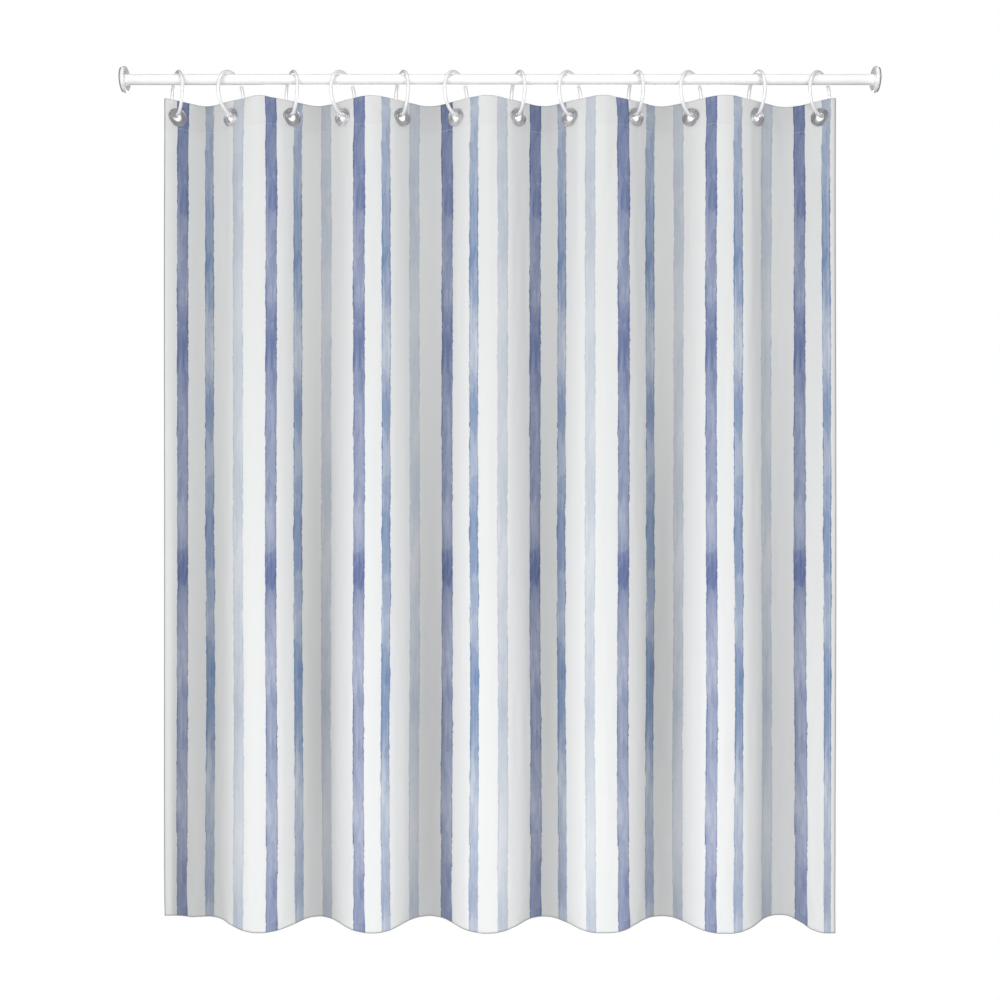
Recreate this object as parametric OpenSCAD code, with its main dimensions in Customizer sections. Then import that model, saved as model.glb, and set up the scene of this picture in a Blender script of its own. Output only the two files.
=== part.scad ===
// Shower curtain hanging on a straight rail between two walls.
// The origin is the centre of the left foot's wall face. X runs along the rail, Y to the back, Z up.

/* [Rail] */
// Distance between the two walls, over both wall pads
rail_span = 1830; // [1750:5:2400]
// Outer diameter of the rail tube
rail_d = 25; // [22:0.5:28]
// Wall thickness of the rail tube
rail_wall = 1.2; // [0.8:0.1:2]

/* [Feet] */
// Diameter of the round end flanges
flange_d = 62; // [54:1:80]
// Thickness of an end flange, without its wall pad
flange_depth = 10; // [9:0.5:14]
// Thickness of a rubber wall pad
pad_depth = 2; // [1.5:0.5:4]
// Number of grip notches around a flange
notch_count = 8; // [6:1:12]
// Diameter of the adjusting screw in the right foot
stud_d = 10; // [8:1:12]

/* [Rings] */
// Outer diameter of a curtain ring
ring_d = 112; // [104:1:120]
// Thickness of a ring's round section
ring_section = 8.2; // [6:0.1:9]
// Width of the gap that lets a ring snap over the rail, as an angle
ring_gap = 34; // [24:1:40]

/* [Eyelets] */
// Outer diameter of an eyelet
eyelet_d = 45; // [40:1:46]
// Diameter of the hole in an eyelet
eyelet_hole_d = 19; // [19:0.5:22]

/* [Curtain] */
// Length of the curtain from its top edge to its bottom edge
curtain_h = 2000; // [1800:10:2200]
// Height of the double cloth at the top edge
header_h = 68; // [62:1:100]
// Width of the hem down each side
side_hem = 20; // [10:1:26]
// Height of the hem along the bottom edge
bottom_hem = 30; // [15:1:50]
// Thickness of one layer of cloth
cloth_t = 0.6; // [0.4:0.1:0.8]
// Height of the top edge above the eyelets' centres
edge_above_eyelet = 39.5; // [30:0.5:42]
// Slope of the cloth at each eyelet, from the line of the rail
fold_slope = 33; // [28:1:36]

/* [Hidden] */
// Distance of each eyelet from the curtain's left edge, as the curtain hangs
eyelet_at = [26, 156, 303, 427, 570, 701, 851, 977, 1136, 1270, 1429, 1582];
last = len(eyelet_at) - 1;
right_margin = 33;
hung_width = eyelet_at[last] + right_margin;
curtain_x = (rail_span - hung_width) / 2;

// Clearances
running_gap = 0.05;
free_gap = 0.3;
layer_gap = 0.1;

// Rail and feet
rail_r = rail_d / 2;
bore_r = rail_r - rail_wall;
flange_r = flange_d / 2;
socket_depth = 6;
pad_inset = 2;
plug_length = 30;
screw_r = 2.5;
screw_head_r = 5;
screw_head_h = 2.4;
screw_length = 22;
stud_r = stud_d / 2;
stud_length = 34;
foot_depth = pad_depth + flange_depth;
socket_floor = foot_depth - socket_depth;
notch_deep = 2.6;
notch_tall = 6;
notch_wide = 4.4;
notch_from_wall = 3.4;

// Rings
wire_r = ring_section / 2;
ring_r = ring_d / 2 - wire_r;
ring_drop = ring_r - wire_r - rail_r - free_gap;
gap_above_level_odd = 42;
gap_above_level_even = 33;
ring_yaw_odd = 18;
ring_yaw_even = -31;
ring_fan = 0.0125;

// Eyelets: radii from the hole's axis, heights from the middle of the cloth towards the front
hole_r = eyelet_hole_d / 2;
lip_r = 2;
lip_sides = 12;
barrel_half = 0.4;
flange_t = 1.1;
bead_r = 1.2;
step_bead_r = 0.9;
step_at = 16.6;
roll_r = 14.8;
roll_t = 0.7;
washer_gap = 0.1;
washer_r = eyelet_d / 2 - 2;
wire_above_eyelet = 4.5;
eyelet_z = -ring_drop - ring_r - wire_above_eyelet;

// Cloth
stack_half = cloth_t + layer_gap / 2;
grip_half = stack_half + free_gap;
cloth_hole_r = 17;
flat_half = 24;
fold_round = 0.36;
fold_steps = 9;
left_edge_y = -17;
right_edge_y = -19;
curtain_top = eyelet_z + edge_above_eyelet;
curtain_bottom = curtain_top - curtain_h;
header_bottom = curtain_top - header_h;
hem_gap = 0.5;
fold_reach = 60;

function two_digits(i) = i < 9 ? str("0", i + 1) : str(i + 1);

$fn = 64;

// ---- Path of the cloth, seen from above, from its left edge to its right edge ----

// 1 where the cloth runs to the back at an eyelet, -1 where it runs to the front
function lean(i) = i % 2 == 0 ? 1 : -1;

function heading(i) = [cos(fold_slope), lean(i) * sin(fold_slope)];

// The cloth is flat under each eyelet; side is -1 for the flat's left end and 1 for its right end
function flat_end(i, side) = [eyelet_at[i], 0] + side * flat_half * heading(i);

function bezier(p, q, r, s, t) =
    pow(1 - t, 3) * p + 3 * t * pow(1 - t, 2) * q + 3 * t * t * (1 - t) * r + pow(t, 3) * s;

// The round of the fold between one eyelet and the next
function fold_points(i) =
    let (p = flat_end(i, 1), s = flat_end(i + 1, -1), reach = fold_round * (s[0] - p[0]))
    [for (k = [1 : fold_steps - 1])
        bezier(p, p + reach * heading(i), s - reach * heading(i + 1), s, k / fold_steps)];

function stretch(i) =
    concat([flat_end(i, -1), flat_end(i, 1)], i < last ? fold_points(i) : []);

cloth_path = concat(
    [[0, left_edge_y]],
    [for (i = [0 : last]) each stretch(i)],
    [[hung_width, right_edge_y]]
);

// The path moved sideways; a positive distance moves it to the back
function moved_path(path, distance) =
    [for (k = [0 : len(path) - 1])
        let (
            before = path[max(k - 1, 0)],
            after = path[min(k + 1, len(path) - 1)],
            along = (after - before) / norm(after - before)
        )
        path[k] + distance * [-along[1], along[0]]];

function reversed(list) = [for (k = [len(list) - 1 : -1 : 0]) list[k]];

// One layer of cloth between two distances from the path
module layer_outline(front, back) {
    polygon(concat(moved_path(cloth_path, front), reversed(moved_path(cloth_path, back))));
}

module front_layer() {
    layer_outline(-stack_half, -layer_gap / 2);
}

module back_layer() {
    layer_outline(layer_gap / 2, stack_half);
}

module raise(low, high) {
    translate([curtain_x, 0, low]) linear_extrude(high - low) children();
}

// Places a child drawn around the hole's axis, with +Z to the front, at an eyelet
module at_eyelet(i) {
    translate([curtain_x + eyelet_at[i], 0, eyelet_z])
        rotate([0, 0, lean(i) * fold_slope])
            rotate([90, 0, 0])
                children();
}

module cloth_holes() {
    for (i = [0 : last])
        at_eyelet(i) cylinder(r = cloth_hole_r, h = 2 * lip_r + 2, center = true);
}

// ---- Cloth ----

module curtain_panel() {
    color("white")
        difference() {
            raise(curtain_bottom, curtain_top) front_layer();
            cloth_holes();
        }
}

module header_facing() {
    color("whitesmoke")
        difference() {
            raise(header_bottom, curtain_top) back_layer();
            cloth_holes();
        }
}

// A hem is the back layer between two distances from the curtain's left edge
module hem(from_x, to_x, low, high) {
    color("gainsboro")
        raise(low, high)
            intersection() {
                back_layer();
                translate([from_x, -fold_reach]) square([to_x - from_x, 2 * fold_reach]);
            }
}

module left_side_hem() {
    hem(-fold_reach, side_hem, curtain_bottom + bottom_hem + hem_gap, header_bottom - hem_gap);
}

module right_side_hem() {
    hem(
        hung_width - side_hem, hung_width + fold_reach,
        curtain_bottom + bottom_hem + hem_gap, header_bottom - hem_gap
    );
}

module bottom_hem() {
    hem(-fold_reach, hung_width + fold_reach, curtain_bottom, curtain_bottom + bottom_hem);
}

// ---- Rings and eyelets ----

// Rings hang across the rail, turned like the cloth at their eyelets, and a little to the middle
function ring_yaw(i) =
    (lean(i) > 0 ? ring_yaw_odd : ring_yaw_even) - ring_fan * (eyelet_at[i] - hung_width / 2);

module ring(i) {
    first_angle = 180 - (lean(i) > 0 ? gap_above_level_odd : gap_above_level_even);
    sweep = 360 - ring_gap;
    color("white")
        translate([curtain_x + eyelet_at[i], 0, -ring_drop])
            rotate([0, 0, ring_yaw(i) - 90])
                rotate([90, 0, 0]) {
                    rotate_extrude(angle = sweep, start = first_angle)
                        translate([ring_r, 0]) circle(wire_r);
                    for (angle = [first_angle, first_angle + sweep])
                        rotate([0, 0, angle])
                            translate([ring_r, 0, 0])
                                rotate([90, 0, 0])
                                    sphere(wire_r - running_gap);
                }
}

// Front flange with its raised beads, and the barrel that is rolled over the washer behind
module eyelet(i) {
    outer = eyelet_d / 2 - bead_r;
    lip_x = hole_r + lip_r;
    color("silver")
        at_eyelet(i)
            rotate_extrude() {
                for (side = [-1, 1])
                    translate([lip_x, side * barrel_half]) circle(lip_r, $fn = lip_sides);
                translate([hole_r, -barrel_half]) square([lip_r, 2 * barrel_half]);
                translate([lip_x, grip_half]) square([outer - lip_x, flange_t]);
                translate([outer, grip_half + bead_r]) circle(bead_r);
                translate([step_at, grip_half + flange_t]) circle(step_bead_r, $fn = lip_sides);
                translate([lip_x, -barrel_half - lip_r - roll_t / 2])
                    square([roll_r - lip_x, roll_t]);
            }
}

module washer(i) {
    inner = hole_r + 2 * lip_r + washer_gap;
    height = barrel_half + lip_r - roll_t / 2 - washer_gap - grip_half;
    color("silver")
        at_eyelet(i)
            rotate_extrude()
                translate([inner, -grip_half - height]) square([washer_r - inner, height]);
}

// ---- Rail and feet ----

module along_x() {
    rotate([0, 90, 0]) children();
}

// Draws the left foot's piece at the right end
module at_right_end() {
    translate([rail_span, 0, 0]) mirror([1, 0, 0]) children();
}

module rail_tube() {
    color("white")
        translate([socket_floor, 0, 0])
            along_x()
                difference() {
                    cylinder(r = rail_r, h = rail_span - 2 * socket_floor);
                    translate([0, 0, -1]) cylinder(r = bore_r, h = rail_span);
                }
}

// A thick round flange with a soft rim, grip notches, a socket for the tube and a seat for the pad
module flange_shell(centre_hole_r) {
    rim_r = flange_depth / 2 - 1;
    difference() {
        along_x()
            rotate_extrude() {
                translate([0, pad_depth]) square([flange_r - rim_r, flange_depth]);
                translate([0, pad_depth + rim_r]) square([flange_r, flange_depth - 2 * rim_r]);
                for (z = [rim_r, flange_depth - rim_r])
                    translate([flange_r - rim_r, pad_depth + z]) circle(rim_r);
            }
        translate([socket_floor, 0, 0])
            along_x() cylinder(r = rail_r + running_gap, h = foot_depth);
        along_x() cylinder(r = centre_hole_r, h = foot_depth);
        for (k = [0 : notch_count - 1])
            rotate([k * 360 / notch_count, 0, 0])
                translate([notch_from_wall, flange_r - notch_deep, -notch_tall / 2])
                    cube([notch_wide, flange_r, notch_tall]);
    }
}

module left_flange() {
    color("white")
        difference() {
            flange_shell(screw_r + running_gap);
            along_x() cylinder(r = screw_head_r + running_gap, h = pad_depth + screw_head_h);
        }
}

// The plug sits in the tube's left end and takes the flange's screw
module left_end_plug() {
    color("lightgray")
        difference() {
            translate([socket_floor, 0, 0])
                along_x() cylinder(r = bore_r - running_gap, h = plug_length);
            along_x() cylinder(r = screw_r + running_gap, h = plug_length);
        }
}

module left_flange_screw() {
    color("dimgray")
        translate([pad_depth, 0, 0])
            along_x() {
                cylinder(r = screw_head_r, h = screw_head_h);
                cylinder(r = screw_r, h = screw_length);
            }
}

module wall_pad() {
    color("gray")
        along_x() cylinder(r = flange_r - pad_inset, h = pad_depth);
}

module left_wall_pad() {
    wall_pad();
}

module right_wall_pad() {
    at_right_end() wall_pad();
}

module right_flange() {
    color("white")
        at_right_end() flange_shell(stud_r + running_gap);
}

// The threaded stud is fixed in the flange and turns in the insert
module right_stud() {
    color("dimgray")
        at_right_end()
            translate([pad_depth, 0, 0]) along_x() cylinder(r = stud_r, h = stud_length);
}

module right_thread_insert() {
    color("darkgray")
        at_right_end()
            translate([socket_floor, 0, 0])
                along_x()
                    difference() {
                        cylinder(r = bore_r - running_gap, h = plug_length);
                        translate([0, 0, -1])
                            cylinder(r = stud_r + running_gap, h = plug_length + 2);
                    }
}

rail_tube();
left_end_plug();
left_flange();
left_flange_screw();
left_wall_pad();
right_thread_insert();
right_stud();
right_flange();
right_wall_pad();
curtain_panel();
header_facing();
left_side_hem();
right_side_hem();
bottom_hem();
for (i = [0 : last])
    ring(i);
for (i = [0 : last])
    eyelet(i);
for (i = [0 : last])
    washer(i);
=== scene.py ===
"""A striped shower curtain on twelve rings and a straight rail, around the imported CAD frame."""

import math

import bpy
import numpy as np
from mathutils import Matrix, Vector


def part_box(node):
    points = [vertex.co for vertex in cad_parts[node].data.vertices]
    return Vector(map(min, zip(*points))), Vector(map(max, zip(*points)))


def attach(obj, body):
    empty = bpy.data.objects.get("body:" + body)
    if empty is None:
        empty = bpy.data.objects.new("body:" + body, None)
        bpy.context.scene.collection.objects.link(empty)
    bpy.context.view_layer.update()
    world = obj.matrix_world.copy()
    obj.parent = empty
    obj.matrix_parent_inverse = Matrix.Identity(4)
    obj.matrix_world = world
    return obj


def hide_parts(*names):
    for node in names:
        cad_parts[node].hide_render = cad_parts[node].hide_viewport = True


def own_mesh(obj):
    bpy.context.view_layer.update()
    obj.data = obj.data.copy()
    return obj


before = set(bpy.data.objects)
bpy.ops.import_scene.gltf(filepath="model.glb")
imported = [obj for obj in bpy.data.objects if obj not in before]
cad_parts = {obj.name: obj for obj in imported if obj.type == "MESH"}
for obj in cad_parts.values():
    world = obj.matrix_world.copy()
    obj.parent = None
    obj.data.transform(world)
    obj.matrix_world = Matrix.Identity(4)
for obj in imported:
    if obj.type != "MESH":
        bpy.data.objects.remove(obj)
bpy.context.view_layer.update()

MM = 0.001

# ---- What the frame says ----

EYELETS = sorted(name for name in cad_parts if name.startswith("eyelet_"))
RINGS = sorted(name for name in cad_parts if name.startswith("ring_"))
WASHERS = sorted(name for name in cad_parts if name.startswith("washer_"))


def middle(node):
    low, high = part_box(node)
    return (Vector(low) + Vector(high)) / 2


PANEL_LOW, PANEL_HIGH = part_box("curtain_panel")
HEADER_LOW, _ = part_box("header_facing")
_, BOTTOM_HEM_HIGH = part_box("bottom_hem")
LEFT_EDGE = PANEL_LOW[0]
RIGHT_EDGE = PANEL_HIGH[0]
TOP_EDGE = PANEL_HIGH[2]
LENGTH = PANEL_HIGH[2] - PANEL_LOW[2]
HEADER = PANEL_HIGH[2] - HEADER_LOW[2]
BOTTOM_HEM = BOTTOM_HEM_HIGH[2] - PANEL_LOW[2]
EYELET_AT = [middle(name)[0] for name in EYELETS]
EYELET_DOWN = TOP_EDGE - middle(EYELETS[0])[2]
EYELET_LOW, EYELET_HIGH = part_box(EYELETS[0])
EYELET_R = (EYELET_HIGH[2] - EYELET_LOW[2]) / 2
RAIL_MIDDLE = middle("rail_tube")[0]

# ---- The cloth as it was cut and sewn ----

LAYER = 0.6 * MM
LAYER_GAP = 0.1 * MM
SIDE_HEM = 20 * MM
HOLE_CUT = 18 * MM
EDGE_CORD, TOP_CORD = 1.2 * MM, 0.66 * MM
EDGE_SIDES = 8
CORD_STEP_ACROSS, CORD_STEP_DOWN = 4 * MM, 6 * MM

# The folds, seen from above: flat and sloping at each eyelet, and round between them
FOLD_SLOPE = math.radians(33)
FLAT_HALF = 24 * MM
FOLD_ROUND = 0.36
MARGIN_REACH = 0.4
LEFT_MARGIN_TURN, RIGHT_MARGIN_TURN = 0.28, 0.3
MARGIN_STEPS, FLAT_POINTS, FOLD_STEPS = 6, 9, 24

# The folds get deeper on their way down: how many times, and from how far down
BOTTOM_DEPTH = 1.22
DEPTH_FROM = 0.10
# How far the cloth lies above its flat length, and how much more on a near fold
TOP_LIFT, TOP_WAVE = -0.5 * MM, 4.5 * MM
BOTTOM_LIFT, BOTTOM_WAVE = 8.2 * MM, -10.4 * MM
# The lower corners: the left one goes out, the right one and the last hollow go in
LEFT_OUT, RIGHT_IN, HOLLOW_IN = 13 * MM, 6 * MM, 19 * MM
LEFT_LOOSE, RIGHT_LOOSE = 1.6, 1.15
# How far the folds wander sideways and in depth, and where that starts from the side edges
SWAY, WANDER = 2.2 * MM, 2.0 * MM
EDGE_FADE = 0.1

# The print, measured across the hung cloth as it is seen from the front
STRIPE_REPEAT = 0.2132
DARK_AT, DARK_WIDE = 0.0399, 0.0276
MEDIUM_AT, MEDIUM_WIDE = 0.1047, 0.0212
PALE_AT, PALE_WIDE = 0.1737, 0.0244

# ---- Camera: in front of the rail's middle and below it, looking level ----

CAMERA_AWAY = 3.0
CAMERA_BELOW = 1.018
LENS = 44.6


def add_camera():
    data = bpy.data.cameras.new("camera")
    data.lens = LENS
    data.sensor_width = 36
    data.clip_end = 60
    camera = bpy.data.objects.new("camera", data)
    bpy.context.collection.objects.link(camera)
    camera.location = (RAIL_MIDDLE, -CAMERA_AWAY, -CAMERA_BELOW)
    camera.rotation_euler = (math.pi / 2, 0, 0)
    bpy.context.scene.camera = camera


add_camera()

# ---- The cloth's path, seen from above ----


def bezier(a, b, c, d, count):
    t = np.linspace(0, 1, count + 1)[:, None]
    return (1 - t) ** 3 * a + 3 * t * (1 - t) ** 2 * b + 3 * t * t * (1 - t) * c + t**3 * d


def cloth_path():
    """Dense points (x, y) along the middle of the cloth at the eyelets' height."""
    lean = [1 if n % 2 == 0 else -1 for n in range(len(EYELET_AT))]
    ways = [np.array((math.cos(FOLD_SLOPE), s * math.sin(FOLD_SLOPE))) for s in lean]
    mids = [np.array((x, 0.0)) for x in EYELET_AT]
    starts = [m - FLAT_HALF * w for m, w in zip(mids, ways)]
    ends = [m + FLAT_HALF * w for m, w in zip(mids, ways)]
    level = np.array((1.0, 0.0))
    margin = starts[0][0] - LEFT_EDGE
    corner = np.array((LEFT_EDGE, starts[0][1] - LEFT_MARGIN_TURN * margin))
    reach = MARGIN_REACH * margin
    parts = [bezier(corner, corner + reach * level, starts[0] - reach * ways[0], starts[0],
                    MARGIN_STEPS)]
    for n, end in enumerate(ends):
        parts.append(np.linspace(starts[n], end, FLAT_POINTS))
        if n + 1 < len(ends):
            reach = FOLD_ROUND * (starts[n + 1][0] - end[0])
            parts.append(bezier(end, end + reach * ways[n], starts[n + 1] - reach * ways[n + 1],
                                starts[n + 1], FOLD_STEPS))
    margin = RIGHT_EDGE - ends[-1][0]
    corner = np.array((RIGHT_EDGE, ends[-1][1] - RIGHT_MARGIN_TURN * margin))
    reach = MARGIN_REACH * margin
    parts.append(bezier(ends[-1], ends[-1] + reach * ways[-1], corner - reach * level, corner,
                        MARGIN_STEPS))
    points = np.vstack(parts)
    keep = np.r_[True, np.linalg.norm(np.diff(points, axis=0), axis=1) > 1e-6]
    return points[keep]


PATH = cloth_path()
PATH_LENGTHS = np.r_[0, np.cumsum(np.linalg.norm(np.diff(PATH, axis=0), axis=1))]
FLAT_WIDTH = PATH_LENGTHS[-1]
EYELET_ALONG = [float(np.interp(x, PATH[:, 0], PATH_LENGTHS)) for x in EYELET_AT]
FIRST_HOLLOW = (EYELET_AT[0] + EYELET_AT[1]) / 2
DEEPEST = PATH[:, 1].max()
LAST_HOLLOW = (EYELET_AT[-2] + EYELET_AT[-1]) / 2


def smooth(x):
    x = np.clip(x, 0, 1)
    return x * x * (3 - 2 * x)


def hang(along, down):
    """Where the cloth's middle lies, for arrays of metres along its width and down its length."""
    x = np.interp(along, PATH_LENGTHS, PATH[:, 0])
    fall = smooth((down - DEPTH_FROM) / (LENGTH - DEPTH_FROM))
    # the last hollow travels inwards lower down
    last_share = (x - LAST_HOLLOW) / (RIGHT_EDGE - LAST_HOLLOW)
    moved = along + HOLLOW_IN * smooth(last_share + 1) * fall
    depth = np.interp(moved, PATH_LENGTHS, PATH[:, 1]) * (1 + (BOTTOM_DEPTH - 1) * fall)
    # the left edge turns to the back lower down
    edge_share = (FIRST_HOLLOW - x) / (FIRST_HOLLOW - LEFT_EDGE)
    loose = smooth(edge_share * LEFT_LOOSE)
    depth = depth + loose * fall * (DEEPEST * BOTTOM_DEPTH - depth)
    x = x - LEFT_OUT * np.clip(edge_share, 0, 1) * fall
    # and the right edge to the front
    depth = depth - smooth(last_share * RIGHT_LOOSE) * fall * (DEEPEST * BOTTOM_DEPTH + depth)
    x = x - RIGHT_IN * np.clip(last_share, 0, 1) * fall
    # the near folds hang a little longer than the hollows
    front = np.clip(-depth / (DEEPEST * (1 + (BOTTOM_DEPTH - 1) * fall)), -1, 1)
    share = down / LENGTH
    z = TOP_EDGE - down + (TOP_LIFT + front * TOP_WAVE) * (1 - share)
    z = z + (BOTTOM_LIFT + front * BOTTOM_WAVE) * fall
    # each fold wanders a little on its way down
    sway = SWAY * fall * np.sin(along * 9.1 + 2.3 * np.sin(down * 2.1))
    depth = depth + WANDER * fall * np.sin(along * 13.7 + down * 1.9 + 0.6)
    return np.stack([x + sway * edge_fade(along), depth, z], axis=-1)


def seen_across(along):
    """Metres from the left edge as the hung cloth is seen from the front, for placing the print."""
    x = np.interp(along, PATH_LENGTHS, PATH[:, 0])
    y = np.interp(along, PATH_LENGTHS, PATH[:, 1])
    return RAIL_MIDDLE - LEFT_EDGE + (x - RAIL_MIDDLE) * CAMERA_AWAY / (CAMERA_AWAY + y)


def edge_fade(along):
    return smooth(along / EDGE_FADE) * smooth((FLAT_WIDTH - along) / EDGE_FADE)


# ---- Cloth simulation: the hung sheet settles under its own weight ----

SIM_STEP = 14 * MM
SIM_FRAMES = 24
PIN_MARGIN = 4 * MM
SETTLE_CAP = 7 * MM


def sheet_faces(rows, columns, keep=None):
    index = np.arange(rows * columns).reshape(rows, columns)
    a, b = index[:-1, :-1].ravel(), index[:-1, 1:].ravel()
    c, d = index[1:, 1:].ravel(), index[1:, :-1].ravel()
    faces = np.stack([a, b, c, d], axis=1)
    return faces if keep is None else faces[keep.ravel()]


def add_cloth(sheet, pins):
    """Gives the coarse sheet its cloth modifier, held at the group of pins."""
    cloth = sheet.modifiers.new("cloth", "CLOTH")
    cloth.settings.vertex_group_mass = pins.name
    cloth.settings.quality = 6
    cloth.settings.mass = 0.03
    cloth.settings.tension_stiffness = 40
    cloth.settings.compression_stiffness = 30
    cloth.settings.shear_stiffness = 12
    cloth.settings.bending_stiffness = 0.3
    cloth.settings.tension_damping = 12
    cloth.settings.air_damping = 2
    cloth.collision_settings.use_collision = False
    cloth.point_cache.frame_start = 1
    cloth.point_cache.frame_end = SIM_FRAMES


def settle():
    """Moves of a coarse grid of the sheet after a cloth simulation, with their grid lines."""
    along = np.linspace(0, FLAT_WIDTH, int(FLAT_WIDTH / SIM_STEP) + 1)
    down = np.linspace(0, LENGTH, int(LENGTH / SIM_STEP) + 1)
    s, v = np.meshgrid(along, down)
    start = hang(s, v)
    mesh = bpy.data.meshes.new("settling")
    mesh.from_pydata(start.reshape(-1, 3).tolist(), [], sheet_faces(*s.shape).tolist())
    sheet = bpy.data.objects.new("settling", mesh)
    bpy.context.collection.objects.link(sheet)
    pins = sheet.vertex_groups.new(name="held")
    for at in EYELET_ALONG:
        near = np.hypot(s - at, v - EYELET_DOWN) < EYELET_R + PIN_MARGIN
        pins.add(np.flatnonzero(near.ravel()).tolist(), 1.0, "REPLACE")
    add_cloth(sheet, pins)
    scene = bpy.context.scene
    for number in range(1, SIM_FRAMES + 1):
        scene.frame_set(number)
    dg = bpy.context.evaluated_depsgraph_get()
    done = sheet.evaluated_get(dg).data
    end = np.empty(len(done.vertices) * 3)
    done.vertices.foreach_get("co", end)
    moves = end.reshape(start.shape) - start
    bpy.data.objects.remove(sheet)
    bpy.data.meshes.remove(mesh)
    scene.frame_set(1)
    size = np.linalg.norm(moves, axis=-1, keepdims=True)
    return along, down, moves * np.minimum(1, SETTLE_CAP / np.maximum(size, 1e-9))


SETTLED_ALONG, SETTLED_DOWN, SETTLED = settle()


def settled(along, down):
    """The simulation's moves at any points of the sheet, bilinear between grid points."""
    i = np.clip(np.interp(along, SETTLED_ALONG, np.arange(len(SETTLED_ALONG))), 0,
                len(SETTLED_ALONG) - 1.001)
    j = np.clip(np.interp(down, SETTLED_DOWN, np.arange(len(SETTLED_DOWN))), 0,
                len(SETTLED_DOWN) - 1.001)
    i0, j0 = i.astype(int), j.astype(int)
    a, b = (i - i0)[..., None], (j - j0)[..., None]
    top = SETTLED[j0, i0] * (1 - a) + SETTLED[j0, i0 + 1] * a
    low = SETTLED[j0 + 1, i0] * (1 - a) + SETTLED[j0 + 1, i0 + 1] * a
    return top * (1 - b) + low * b


def cloth_point(along, down, back=0.0):
    """A point of the hung cloth, a distance behind its middle."""
    along, down = np.asarray(along, float), np.asarray(down, float)
    step = 1 * MM
    low = np.clip(along - step, 0, FLAT_WIDTH)
    high = np.clip(along + step, 0, FLAT_WIDTH)
    run = (hang(high, down) + settled(high, down)) - (hang(low, down) + settled(low, down))
    normal = np.stack([-run[..., 1], run[..., 0], np.zeros_like(run[..., 0])], axis=-1)
    normal /= np.linalg.norm(normal, axis=-1, keepdims=True)
    back = np.asarray(back, float)[..., None]
    return hang(along, down) + settled(along, down) + normal * back


# ---- Materials ----


class Graph:
    """Short calls for building a material's nodes."""

    def __init__(self, name):
        self.material = bpy.data.materials.new(name)
        self.material.use_nodes = True
        self.tree = self.material.node_tree
        self.shader = self.tree.nodes["Principled BSDF"]

    def node(self, kind, **values):
        made = self.tree.nodes.new(kind)
        for key, value in values.items():
            setattr(made, key, value)
        return made

    def link(self, source, target):
        if isinstance(source, bpy.types.NodeSocket):
            self.tree.links.new(source, target)
        else:
            target.default_value = source

    def math(self, operation, *inputs, clamp=False):
        made = self.node("ShaderNodeMath", operation=operation, use_clamp=clamp)
        for source, target in zip(inputs, made.inputs):
            self.link(source, target)
        return made.outputs[0]

    def remap(self, value, low, high, to_low=0.0, to_high=1.0, eased=True):
        made = self.node("ShaderNodeMapRange", clamp=True)
        made.interpolation_type = "SMOOTHSTEP" if eased else "LINEAR"
        for source, target in zip((value, low, high, to_low, to_high), made.inputs):
            self.link(source, target)
        return made.outputs[0]

    def mix(self, share, first, second, blend="MIX"):
        made = self.node("ShaderNodeMix", data_type="RGBA", blend_type=blend)
        self.link(share, made.inputs["Factor"])
        self.link(first, made.inputs["A"])
        self.link(second, made.inputs["B"])
        return made.outputs["Result"]

    def combine(self, x=0.0, y=0.0, z=0.0):
        made = self.node("ShaderNodeCombineXYZ")
        for source, target in zip((x, y, z), made.inputs):
            self.link(source, target)
        return made.outputs[0]

    def uv(self, name):
        parts = self.node("ShaderNodeSeparateXYZ")
        self.link(self.node("ShaderNodeUVMap", uv_map=name).outputs[0], parts.inputs[0])
        return parts.outputs[0], parts.outputs[1]

    def noise(self, vector, scale, detail=2.0, rough=0.5):
        made = self.node("ShaderNodeTexNoise")
        self.link(vector, made.inputs["Vector"])
        made.inputs["Scale"].default_value = scale
        made.inputs["Detail"].default_value = detail
        made.inputs["Roughness"].default_value = rough
        return made.outputs["Fac"]

    def ramp(self, value, stops):
        made = self.node("ShaderNodeValToRGB")
        self.link(value, made.inputs["Fac"])
        points = made.color_ramp.elements
        for point, (place, level) in zip(points, (stops[0], stops[-1])):
            point.position = place
            point.color = (level, level, level, 1)
        for place, level in stops[1:-1]:
            points.new(place).color = (level, level, level, 1)
        return made.outputs["Color"]

    def bump(self, height, strength, distance):
        made = self.node("ShaderNodeBump")
        made.inputs["Strength"].default_value = strength
        made.inputs["Distance"].default_value = distance
        self.link(height, made.inputs["Height"])
        return made.outputs["Normal"]

    def set(self, **values):
        for key, value in values.items():
            self.link(value, self.shader.inputs[key.replace("_", " ")])


CLOTH_WHITE = (0.935, 0.942, 0.94, 1)

# Tone down the stripes, as (share of the curtain's length, how full the wash is)
DARK_WASH = [(0.0, 0.78), (0.11, 0.78), (0.215, 0.30), (0.295, 1.0), (0.385, 0.30), (0.44, 0.55),
             (0.505, 0.20), (0.578, 1.0), (0.65, 0.08), (0.74, 0.50), (0.86, 0.12), (0.96, 0.58)]
MEDIUM_WASH = [(0.0, 0.25), (0.09, 0.56), (0.19, 0.98), (0.295, 0.08), (0.37, 0.68), (0.43, 0.46),
               (0.53, 0.80), (0.62, 0.36), (0.735, 1.0), (0.85, 0.08), (0.925, 0.52), (1.0, 0.34)]
PALE_WASH = [(0.0, 0.45), (0.12, 0.72), (0.27, 0.24), (0.34, 0.50), (0.40, 0.24), (0.475, 0.52),
             (0.55, 0.12), (0.63, 0.46), (0.745, 0.85), (0.89, 0.10), (0.97, 0.80)]

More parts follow.
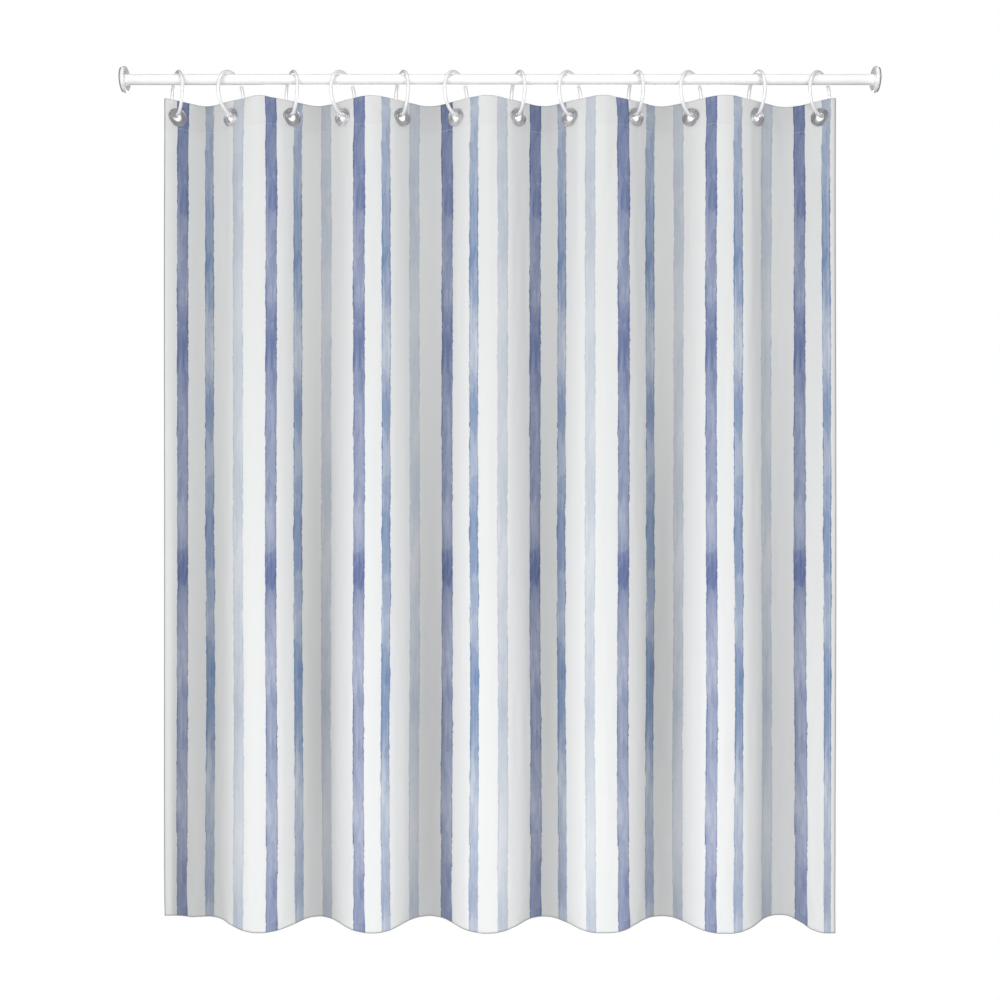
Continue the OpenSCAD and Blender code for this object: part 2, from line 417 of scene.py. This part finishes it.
# Each kind of stripe: middle, width, wash, colour where the wash is thin, colour where it is full
STRIPES = [
    (DARK_AT, DARK_WIDE, DARK_WASH, (0.555, 0.60, 0.745, 1), (0.15, 0.205, 0.42, 1)),
    (MEDIUM_AT, MEDIUM_WIDE, MEDIUM_WASH, (0.69, 0.745, 0.84, 1), (0.19, 0.30, 0.53, 1)),
    (PALE_AT, PALE_WIDE, PALE_WASH, (0.83, 0.86, 0.91, 1), (0.58, 0.645, 0.75, 1)),
]


def paint_stripe(g, across, down, base, kind, number):
    """Lays one kind of watercolour stripe over the base colour."""
    place, wide, wash, thin, full = kind
    turns = g.math("DIVIDE", g.math("SUBTRACT", across, place), STRIPE_REPEAT)
    off = g.math("SUBTRACT", g.math("FRACT", g.math("ADD", turns, 0.5)), 0.5)
    off = g.math("MULTIPLY", off, STRIPE_REPEAT)
    offset = 3.7 * number
    slow = g.noise(g.combine(g.math("MULTIPLY", off, 12.0), down, offset), 14.0, 3.0, 0.6)
    wobble = g.math("MULTIPLY", g.math("SUBTRACT", slow, 0.5), 7 * MM)
    fine = g.noise(g.combine(g.math("MULTIPLY", off, 4.0), down, offset + 9), 65.0, 3.0, 0.6)
    wobble = g.math("ADD", wobble, g.math("MULTIPLY", g.math("SUBTRACT", fine, 0.5), 5 * MM))
    inside = g.math("SUBTRACT", wide / 2, g.math("ABSOLUTE", g.math("ADD", off, wobble)))
    mask = g.remap(inside, -0.4 * MM, 0.7 * MM)
    # pigment gathers along the stripe's edges in places
    rim = g.math("MULTIPLY", g.remap(inside, 3.0 * MM, 0.8 * MM), mask)
    gathers = g.noise(g.combine(g.math("SIGN", off), down, offset + 4), 5.0, 3.0)
    rim = g.math("MULTIPLY", rim, g.remap(gathers, 0.36, 0.62, 0.10, 0.75))
    streaks = g.noise(g.combine(g.math("MULTIPLY", off, 16.0), down, offset + 2), 9.0, 4.0, 0.62)
    streaks = g.math("SUBTRACT", streaks, 0.5)
    # the wash runs in tongues, and dries with edges inside the stripe
    tongues = g.noise(g.combine(g.math("MULTIPLY", off, 11.0), down, offset + 7), 13.0, 3.0)
    run = g.math("MULTIPLY", g.math("SUBTRACT", tongues, 0.5), 0.16)
    tone = g.ramp(g.math("DIVIDE", g.math("ADD", down, run), LENGTH), wash)
    blooms = g.noise(g.combine(g.math("MULTIPLY", off, 3.0), down, offset + 5), 11.0, 3.0)
    blooms = g.remap(blooms, 0.485, 0.53, -0.08, 0.10)
    tone = g.math("ADD", g.math("MULTIPLY", tone, 0.92), blooms)
    tone = g.math("ADD", g.math("ADD", tone, streaks), rim, clamp=True)
    paint = g.mix(tone, thin, full)
    cool = g.noise(g.combine(g.math("MULTIPLY", off, 9.0), down, offset + 6), 6.0, 2.0)
    paint = g.mix(g.remap(cool, 0.45, 0.75, 0.0, 0.35), paint,
                  g.mix(1.0, paint, (1.06, 0.98, 0.985, 1), "MULTIPLY"))
    return g.mix(mask, base, g.mix(1.0, base, paint, "MULTIPLY"))


def weave(g, across, down):
    """Height of a plain weave, from threads that run both ways."""
    pitch = 0.9 * MM
    warp = g.math("SINE", g.math("MULTIPLY", across, 2 * math.pi / pitch))
    weft = g.math("SINE", g.math("MULTIPLY", down, 2 * math.pi / pitch))
    slub = g.noise(g.combine(g.math("MULTIPLY", across, 30.0), g.math("MULTIPLY", down, 900.0)),
                   1.0, 2.0)
    return g.math("ADD", g.math("MULTIPLY", warp, weft), g.math("MULTIPLY", slub, 1.2))


def cloth_material(name, front):
    g = Graph(name)
    across, down = g.uv("flat")
    seen, _ = g.uv("print")
    base = CLOTH_WHITE
    for number, kind in enumerate(STRIPES):
        base = paint_stripe(g, seen, down, base, kind, number)
    if not front:
        # the print only shows through faintly on the wrong side
        base = g.mix(0.62, base, CLOTH_WHITE)
    cloud = g.noise(g.combine(across, down), 5.0, 3.0)
    base = g.mix(g.remap(cloud, 0.35, 0.7, 0.0, 0.35), base,
                 g.mix(1.0, base, (0.975, 0.985, 0.99, 1), "MULTIPLY"))
    # painted shade: soft grey mixed into the colour in the hollows of the folds, read from the
    # stored hollow attribute
    hollow = g.node("ShaderNodeAttribute", attribute_name="hollow").outputs["Fac"]
    base = g.mix(hollow, base, (0.0, 0.0, 0.0, 1))
    relief = g.bump(weave(g, across, down), 0.25, 0.12 * MM)
    g.set(Base_Color=base, Roughness=0.78, Normal=relief, Sheen_Weight=0.18,
          Sheen_Roughness=0.45, Specular_IOR_Level=0.28)
    return g.material


def gloss_material(name, base, roughness, coat=0.0, wear=0.02, metallic=0.0, bump=0.08, ior=1.5):
    """Moulded or plated surface with faint colour drift, handling marks and an uneven gloss."""
    g = Graph(name)
    place = g.node("ShaderNodeTexCoord").outputs["Object"]
    drift = g.noise(place, 9.0, 3.0)
    marks = g.noise(place, 160.0, 4.0, 0.7)
    darker = (base[0] * 0.93, base[1] * 0.93, base[2] * 0.935, 1)
    tone = g.mix(g.remap(drift, 0.35, 0.7, 0.0, 0.7), base, darker)
    g.set(Base_Color=tone,
          Roughness=g.remap(marks, 0.3, 0.75, roughness, roughness + wear * 4, eased=False),
          Metallic=metallic, Normal=g.bump(marks, bump, 0.05 * MM), Coat_Weight=coat,
          Coat_Roughness=0.06, IOR=ior, Coat_IOR=ior)
    return g.material


CLOTH_FRONT = cloth_material("cloth_printed", front=True)
CLOTH_BACK = cloth_material("cloth_wrong_side", front=False)
THREAD_WHITE = gloss_material("thread_white", (0.9, 0.9, 0.91, 1), 0.6, wear=0.03)
THREAD_GREY = gloss_material("thread_grey", (0.38, 0.38, 0.39, 1), 0.7, wear=0.03)
RING_PLASTIC = gloss_material("ring_plastic", (0.93, 0.925, 0.94, 1), 0.16, coat=1.0, ior=1.9)
RAIL_WHITE = gloss_material("rail_white", (0.92, 0.92, 0.92, 1), 0.25, coat=0.3, ior=1.6, bump=0.03)
FOOT_WHITE = gloss_material("foot_white", (0.92, 0.92, 0.925, 1), 0.2, coat=1.0, ior=1.9, bump=0.04)
INNER_PLASTIC = gloss_material("inner_plastic", (0.5, 0.5, 0.51, 1), 0.5, bump=0.2)
SCREW_STEEL = gloss_material("screw_steel", (0.6, 0.6, 0.62, 1), 0.3, metallic=1.0)
PAD_RUBBER = gloss_material("pad_rubber", (0.30, 0.30, 0.31, 1), 0.85, bump=0.4)
EYELET_METAL = gloss_material("eyelet_metal", (0.72, 0.72, 0.73, 1), 0.29, metallic=1.0, wear=0.01,
                              bump=0.0)


def finish_cad(names, material):
    for name in names:
        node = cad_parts[name]
        node.data.materials.clear()
        node.data.materials.append(material)
        node.data.polygons.foreach_set("material_index", [0] * len(node.data.polygons))


finish_cad(RINGS, RING_PLASTIC)
finish_cad(EYELETS + WASHERS, EYELET_METAL)
finish_cad(["rail_tube"], RAIL_WHITE)
finish_cad(["left_flange", "right_flange"], FOOT_WHITE)
finish_cad(["left_wall_pad", "right_wall_pad"], PAD_RUBBER)
finish_cad(["left_flange_screw", "right_stud"], SCREW_STEEL)
finish_cad(["left_end_plug", "right_thread_insert"], INNER_PLASTIC)

# ---- Cloth pieces ----


def add_mesh(name, points, faces, material, smooth_faces=True):
    mesh = bpy.data.meshes.new(name)
    mesh.from_pydata(points, [], faces)
    mesh.materials.append(material)
    mesh.polygons.foreach_set("use_smooth", [smooth_faces] * len(mesh.polygons))
    made = bpy.data.objects.new(name, mesh)
    bpy.context.collection.objects.link(made)
    return made


def hollowness(depth, down):
    """How deep a point lies in its fold, 0 on a near fold and 1 in a hollow."""
    fall = smooth(down / LENGTH)
    reach = DEEPEST * (1 + (BOTTOM_DEPTH - 1) * fall)
    return np.clip(0.5 + 0.5 * depth / reach, 0, 1)


# Painted shade in the hollows of the folds, and a little over the header: how strong, and how
# narrow
TOP_PAINTED_SHADE, TOP_POWER = 0.245, 1.0
BOTTOM_PAINTED_SHADE, BOTTOM_POWER = 0.47, 1.8
LOWER_BY = 1.25
HEADER_PAINTED_SHADE = 0.025
# Painted shade near the edges, lighter at the left edge and the last hollow and greyer at the right
# edge: how much, from how far in from the edge, over what width
LEFT_EDGE_LIGHTER, LEFT_LIGHT_WIDE, LEFT_LIGHT_FADE = 0.38, 0.024, 0.014
LAST_HOLLOW_LIGHTER, LAST_HOLLOW_FROM, LAST_HOLLOW_FADE = 0.35, 0.20, 0.05
RIGHT_EDGE_PAINTED_SHADE, RIGHT_EDGE_FROM, RIGHT_EDGE_FADE = 0.12, 0.105, 0.06
RIGHT_EDGE_SHARE = 0.8


def painted_fold_shade(depth, along, down, is_front):
    """How much painted shade darkens the cloth's colour at points of the hung sheet, in the hollows
    as seen from each face.
    """
    deep = hollowness(depth, down)
    deep = deep * (1 - LEFT_EDGE_LIGHTER * smooth((LEFT_LIGHT_WIDE - along) / LEFT_LIGHT_FADE))
    lower = smooth(down / LENGTH * LOWER_BY)
    grey = TOP_PAINTED_SHADE + (BOTTOM_PAINTED_SHADE - TOP_PAINTED_SHADE) * lower
    power = TOP_POWER + (BOTTOM_POWER - TOP_POWER) * lower
    value = np.where(is_front, deep, 1 - deep) ** power * grey
    value += HEADER_PAINTED_SHADE * (down < HEADER)
    from_right = along - FLAT_WIDTH
    last_hollow = smooth((from_right + LAST_HOLLOW_FROM) / LAST_HOLLOW_FADE)
    value *= 1 - LAST_HOLLOW_LIGHTER * last_hollow
    # the right edge is drawn toward an even painted shade
    at_right = smooth((from_right + RIGHT_EDGE_FROM) / RIGHT_EDGE_FADE)
    return value + RIGHT_EDGE_SHARE * at_right * (RIGHT_EDGE_PAINTED_SHADE - value)


def add_sheet(name, along, down, middle_back, thick, holes=False):
    """One closed layer of cloth over the grid of along and down, with its flat size as UVs."""
    s, v = np.meshgrid(along, down)
    keep = None
    if holes:
        mid_s, mid_v = (s[:-1, :-1] + s[1:, 1:]) / 2, (v[:-1, :-1] + v[1:, 1:]) / 2
        keep = np.ones(mid_s.shape, bool)
        for at in EYELET_ALONG:
            keep &= np.hypot(mid_s - at, mid_v - EYELET_DOWN) > HOLE_CUT
    rows, columns = s.shape
    front = cloth_point(s, v, middle_back - thick / 2).reshape(-1, 3)
    behind = cloth_point(s, v, middle_back + thick / 2).reshape(-1, 3)
    front_faces = sheet_faces(rows, columns, keep)
    count = rows * columns
    back_faces = front_faces[:, ::-1] + count
    # walls round every open edge
    pairs = np.vstack([front_faces[:, [k, (k + 1) % 4]] for k in range(4)])
    known = {(a, b) for a, b in pairs.tolist()}
    rim = [(a, b) for a, b in pairs.tolist() if (b, a) not in known]
    walls = np.array([(b, a, a + count, b + count) for a, b in rim])
    # front faces look to -Y, so their order is turned round
    faces = np.vstack([front_faces[:, ::-1], back_faces[:, ::-1], walls[:, ::-1]])
    used = np.unique(faces)
    fresh = np.full(2 * count, -1)
    fresh[used] = np.arange(len(used))
    points = np.vstack([front, behind])[used]
    made = add_mesh(name, points.tolist(), fresh[faces].tolist(), CLOTH_FRONT)
    mesh = made.data
    mesh.materials.append(CLOTH_BACK)
    index = np.r_[np.zeros(len(front_faces), int), np.ones(len(back_faces) + len(walls), int)]
    mesh.polygons.foreach_set("material_index", index.tolist())
    flat = np.stack([np.r_[s.ravel(), s.ravel()], np.r_[v.ravel(), v.ravel()]], axis=1)[used]
    loops = np.empty(len(mesh.loops), int)
    mesh.loops.foreach_get("vertex_index", loops)
    uv = mesh.uv_layers.new(name="flat")
    uv.data.foreach_set("uv", flat[loops].ravel())
    seen = np.stack([seen_across(flat[:, 0]), flat[:, 1]], axis=1)
    uv = mesh.uv_layers.new(name="print")
    uv.data.foreach_set("uv", seen[loops].ravel())
    # painted shade of the folds, stored per point as the hollow attribute for the cloth material
    value = painted_fold_shade(points[:, 1], flat[:, 0], flat[:, 1], used < count)
    mesh.attributes.new("hollow", "FLOAT", "POINT").data.foreach_set("value", value)
    return made


def lines(low, high, step):
    return np.linspace(low, high, max(2, int(round((high - low) / step)) + 1))


# Steps of the cloth's mesh: across, down, and down the double cloth at the top
ACROSS_STEP, DOWN_STEP, HEADER_STEP = 5 * MM, 18 * MM, 4 * MM
HEM_CLEAR = 0.5 * MM
HEADER_END = HEADER + 6 * MM
BOTTOM_HEM_FROM = LENGTH - BOTTOM_HEM


def add_curtain():
    """The printed cloth in front, and its turned-back edges as a second layer behind it."""
    layer = (LAYER + LAYER_GAP) / 2
    along = lines(0, FLAT_WIDTH, ACROSS_STEP)
    header = lines(0, HEADER, HEADER_STEP)
    bottom = lines(BOTTOM_HEM_FROM, LENGTH, ACROSS_STEP)
    down = np.unique(np.r_[lines(0, HEADER_END, HEADER_STEP),
                           lines(HEADER_END, BOTTOM_HEM_FROM, DOWN_STEP), bottom])
    tall = lines(HEADER + HEM_CLEAR, BOTTOM_HEM_FROM - HEM_CLEAR, DOWN_STEP)
    left = lines(0, SIDE_HEM, ACROSS_STEP)
    right = lines(FLAT_WIDTH - SIDE_HEM, FLAT_WIDTH, ACROSS_STEP)
    return [add_sheet("cloth_panel", along, down, -layer, LAYER, holes=True),
            add_sheet("cloth_header", along, header, layer, LAYER, holes=True),
            add_sheet("cloth_side_hem_left", left, tall, layer, LAYER),
            add_sheet("cloth_side_hem_right", right, tall, layer, LAYER),
            add_sheet("cloth_bottom_hem", along, bottom, layer, LAYER)]


ASIDE = (0.13, 0.97, 0.2)


def sweep(name, points, radius, sides, material):
    """A closed tube round a line of points, none of which runs along ASIDE."""
    run = np.gradient(points, axis=0)
    run /= np.linalg.norm(run, axis=1, keepdims=True)
    side = np.cross(run, ASIDE)
    side /= np.linalg.norm(side, axis=1, keepdims=True)
    up = np.cross(side, run)
    angle = np.arange(sides) * 2 * math.pi / sides
    ring = side[:, None] * np.cos(angle)[None, :, None] + up[:, None] * np.sin(angle)[None, :, None]
    shell = (points[:, None] + radius * ring).reshape(-1, 3)
    rows = len(points)
    index = np.arange(rows * sides).reshape(rows, sides)
    turned = np.roll(index, -1, axis=1)
    faces = np.stack([index[:-1].ravel(), turned[:-1].ravel(), turned[1:].ravel(),
                      index[1:].ravel()], axis=1)
    caps = [index[0][::-1].tolist(), index[-1].tolist()]
    return add_mesh(name, shell.tolist(), faces.tolist() + caps, material)


def add_edge_cord(name, along, down, radius=EDGE_CORD):
    """Rolled, overlocked edge of the cloth: a thin cord of grey thread."""
    return sweep(name, cloth_point(along, down), radius, EDGE_SIDES, THREAD_GREY)


def add_edges():
    tall = lines(1 * MM, LENGTH, CORD_STEP_DOWN)
    wide = lines(0, FLAT_WIDTH, CORD_STEP_ACROSS)
    return [add_edge_cord("edge_left", np.zeros_like(tall), tall),
            add_edge_cord("edge_right", np.full_like(tall, FLAT_WIDTH), tall),
            add_edge_cord("edge_bottom", wide, np.full_like(wide, LENGTH)),
            add_edge_cord("edge_top", wide, np.zeros_like(wide), TOP_CORD)]


STITCH, STITCH_GAP, STITCH_R = 3.2 * MM, 1.4 * MM, 0.28 * MM
STITCH_SIDES = 5
SEAM_INSET, SEAM_CLEAR = 3 * MM, 2 * MM


def add_stitches(name, along, down):
    """A row of short threads on the front of the cloth, along a line of (along, down) points."""
    line = np.stack([along, down], axis=1)
    far = np.r_[0, np.cumsum(np.linalg.norm(np.diff(line, axis=0), axis=1))]
    starts = np.arange(STITCH_GAP, far[-1] - STITCH, STITCH + STITCH_GAP)
    front = -(LAYER + LAYER_GAP / 2)
    # each stitch rises out of the cloth, runs along it and dips back in
    share = np.array((0.0, 0.12, 0.5, 0.88, 1.0))
    lift = np.array((0.15, 0.54, 0.66, 0.54, 0.15)) * STITCH_R
    angle = np.arange(STITCH_SIDES) * 2 * math.pi / STITCH_SIDES
    at = (starts[:, None] + share[None, :] * STITCH).ravel()
    s, v = np.interp(at, far, line[:, 0]), np.interp(at, far, line[:, 1])
    centre = cloth_point(s, v, front - np.tile(lift, len(starts)))
    centre = centre.reshape(len(starts), len(share), 3)
    run = np.gradient(centre, axis=1)
    run /= np.linalg.norm(run, axis=2, keepdims=True)
    side = np.cross(run, (0.0, 1.0, 0.0))
    side /= np.linalg.norm(side, axis=2, keepdims=True)
    up = np.cross(side, run)
    radius = STITCH_R * np.array((0.45, 1, 1, 1, 0.45))[None, :, None, None]
    ring = side[:, :, None] * np.cos(angle)[:, None] + up[:, :, None] * np.sin(angle)[:, None]
    points = (centre[:, :, None] + radius * ring).reshape(-1, 3)
    index = np.arange(len(points)).reshape(len(starts), len(share), STITCH_SIDES)
    turned = np.roll(index, -1, axis=2)
    faces = np.stack([index[:, :-1].ravel(), turned[:, :-1].ravel(), turned[:, 1:].ravel(),
                      index[:, 1:].ravel()], axis=1).tolist()
    caps = index[:, 0, ::-1].tolist() + index[:, -1].tolist()
    return add_mesh(name, points.tolist(), faces + caps, THREAD_WHITE)


def add_all_stitches():
    wide = lines(SEAM_CLEAR, FLAT_WIDTH - SEAM_CLEAR, CORD_STEP_ACROSS)
    tall = lines(HEADER + SEAM_CLEAR, BOTTOM_HEM_FROM - SEAM_CLEAR, CORD_STEP_DOWN)
    left, right = SIDE_HEM - SEAM_INSET, FLAT_WIDTH - SIDE_HEM + SEAM_INSET
    return [add_stitches("stitching_header", wide, np.full_like(wide, HEADER - SEAM_INSET)),
            add_stitches("stitching_left", np.full_like(tall, left), tall),
            add_stitches("stitching_right", np.full_like(tall, right), tall)]


SHEETS = add_curtain()
EDGES = add_edges()
STITCHES = add_all_stitches()

for piece in SHEETS + EDGES + STITCHES:
    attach(piece, "curtain")
    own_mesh(piece)

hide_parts("curtain_panel")
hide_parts("header_facing")
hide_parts("left_side_hem")
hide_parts("right_side_hem")
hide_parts("bottom_hem")

# ---- Floor, light and surroundings ----

FLOOR_Z = -2.6
FLOOR_HALF = 30.0


def floor_material():
    """Shows plain white to the camera and a dimmer grey to the object."""
    g = Graph("floor_pale")
    g.set(Base_Color=(0.45, 0.45, 0.46, 1), Roughness=0.9)
    glow = g.node("ShaderNodeEmission")
    glow.inputs["Color"].default_value = (1, 1, 1, 1)
    glow.inputs["Strength"].default_value = 1.0
    mix = g.node("ShaderNodeMixShader")
    g.link(g.node("ShaderNodeLightPath").outputs["Is Camera Ray"], mix.inputs[0])
    g.link(g.shader.outputs[0], mix.inputs[1])
    g.link(glow.outputs[0], mix.inputs[2])
    g.link(mix.outputs[0], g.tree.nodes["Material Output"].inputs[0])
    return g.material


def add_floor():
    corners = [(-1, -1), (1, -1), (1, 1), (-1, 1)]
    points = [(x * FLOOR_HALF, y * FLOOR_HALF, FLOOR_Z) for x, y in corners]
    add_mesh("floor", points, [(0, 1, 2, 3)], floor_material(), smooth_faces=False)


def add_world():
    world = bpy.data.worlds.new("studio")
    bpy.context.scene.world = world
    world.use_nodes = True
    tree = world.node_tree
    soft = tree.nodes["Background"]
    soft.inputs["Color"].default_value = (1, 1, 1, 1)
    soft.inputs["Strength"].default_value = 0.5
    path = tree.nodes.new("ShaderNodeLightPath")
    last = soft.outputs[0]
    # the room is dimmer in gloss, and plain white behind the object
    for ray, level in (("Is Glossy Ray", (0.085, 0.08, 0.09, 1)), ("Is Camera Ray", (1, 1, 1, 1))):
        glow = tree.nodes.new("ShaderNodeBackground")
        glow.inputs["Color"].default_value = level
        mix = tree.nodes.new("ShaderNodeMixShader")
        tree.links.new(path.outputs[ray], mix.inputs[0])
        tree.links.new(last, mix.inputs[1])
        tree.links.new(glow.outputs[0], mix.inputs[2])
        last = mix.outputs[0]
    tree.links.new(last, tree.nodes["World Output"].inputs[0])


def add_light(name, place, target, size, power, only=None):
    data = bpy.data.lights.new(name, "AREA")
    data.shape = "RECTANGLE"
    data.size, data.size_y = size
    data.energy = power
    light = bpy.data.objects.new(name, data)
    bpy.context.collection.objects.link(light)
    light.location = place
    light.rotation_mode = "QUATERNION"
    aim = Vector(target) - Vector(place)
    light.rotation_quaternion = aim.to_track_quat("-Z", "Y")
    if only is not None:
        light.light_linking.receiver_collection = only


def group(name, nodes):
    """A collection of CAD pieces, for a light that only they receive."""
    made = bpy.data.collections.new(name)
    for node in nodes:
        made.objects.link(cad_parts[node])
    return made


def add_lights():
    middle_z = TOP_EDGE - LENGTH / 2
    centre = (RAIL_MIDDLE, 0, middle_z)
    add_light("front", (RAIL_MIDDLE, -4.2, middle_z - 0.5), centre, (2.2, 2.2), 83)
    add_light("left", (RAIL_MIDDLE - 3.1, -0.9, middle_z - 0.1), centre, (0.35, 2.6), 13)
    add_light("top", (RAIL_MIDDLE, -0.7, 1.9), (RAIL_MIDDLE, 0, 0), (2.4, 0.6), 8)
    low_z = TOP_EDGE - LENGTH
    add_light("low", (RAIL_MIDDLE + 0.2, -1.3, low_z - 0.1), (RAIL_MIDDLE + 0.2, 0, low_z),
              (0.8, 0.8), 1.7)
    add_light("behind", (RAIL_MIDDLE, 3.4, middle_z + 0.8), centre, (2.4, 2.4), 60)
    white_parts = group("white_parts", RINGS + ["rail_tube", "left_flange", "right_flange"])
    add_light("rail_fill", (RAIL_MIDDLE, -3.6, 0.7), (RAIL_MIDDLE, 0, 0), (2.6, 0.5), 60,
              white_parts)
    metal = group("metal", EYELETS + WASHERS)
    for name, side, power in (("metal_left", -1, 13), ("metal_right", 1, 11)):
        add_light(name, (RAIL_MIDDLE + side * 2.4, -1.3, -0.3), (RAIL_MIDDLE, 0, -0.1), (1.7, 1.7),
                  power, metal)


add_floor()
add_world()
add_lights()
scene = bpy.context.scene
scene.view_settings.view_transform = "Standard"
scene.view_settings.look = "None"
